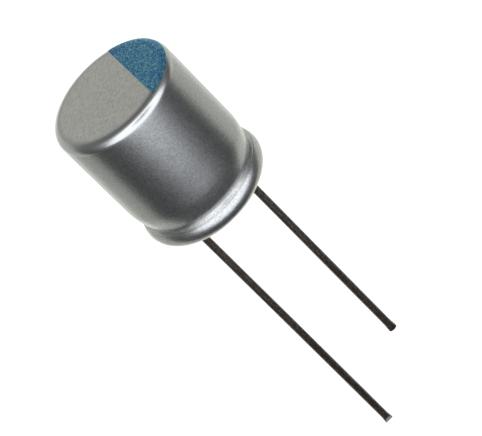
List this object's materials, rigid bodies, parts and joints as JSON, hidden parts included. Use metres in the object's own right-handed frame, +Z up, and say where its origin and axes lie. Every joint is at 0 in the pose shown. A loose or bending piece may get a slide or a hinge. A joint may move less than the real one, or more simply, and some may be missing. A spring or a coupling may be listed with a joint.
{
  "type": "radial electrolytic capacitor",
  "caption": "Radial-lead aluminium electrolytic capacitor with a conductive polymer, in a bare grooved can with a blue mark on its top over the cathode lead.",
  "frame": {"origin": "on the can's axis, in the plane of the rolled edge that seats on a board", "axes": "+Z up the can's axis to its top; the leads run down -Z, the anode's at -X and the cathode's at +X, under the blue mark; -Y is the side seen in the picture"},
  "size_m": [0.0102, 0.0102, 0.0377],
  "materials": {
    "can_aluminium": "bare drawn aluminium, satin, with a fine grain on the wall and a faintly brushed top",
    "mark_ink": "thin matt blue ink with a fine speckle",
    "seal_rubber": "black moulded rubber, matt",
    "anode_foil": "etched and formed aluminium foil, matt dark grey",
    "cathode_foil": "etched aluminium foil, matt grey",
    "separator_paper": "thin paper darkened by the polymer in it, matt",
    "tape_film": "amber plastic film, smooth",
    "tab_aluminium": "plain aluminium, pressed",
    "lead_wire": "drawn steel wire with a dull tin plating"
  },
  "bodies": {
    "root": {"case": "can_aluminium", "polarity_mark": "mark_ink", "seal": "seal_rubber", "anode_foil": "anode_foil", "cathode_foil": "cathode_foil", "inner_separator": "separator_paper", "outer_separator": "separator_paper", "winding_tape": "tape_film", "anode_tab": "tab_aluminium", "cathode_tab": "tab_aluminium", "anode_lead": "lead_wire", "cathode_lead": "lead_wire"}
  },
  "joints": []
}
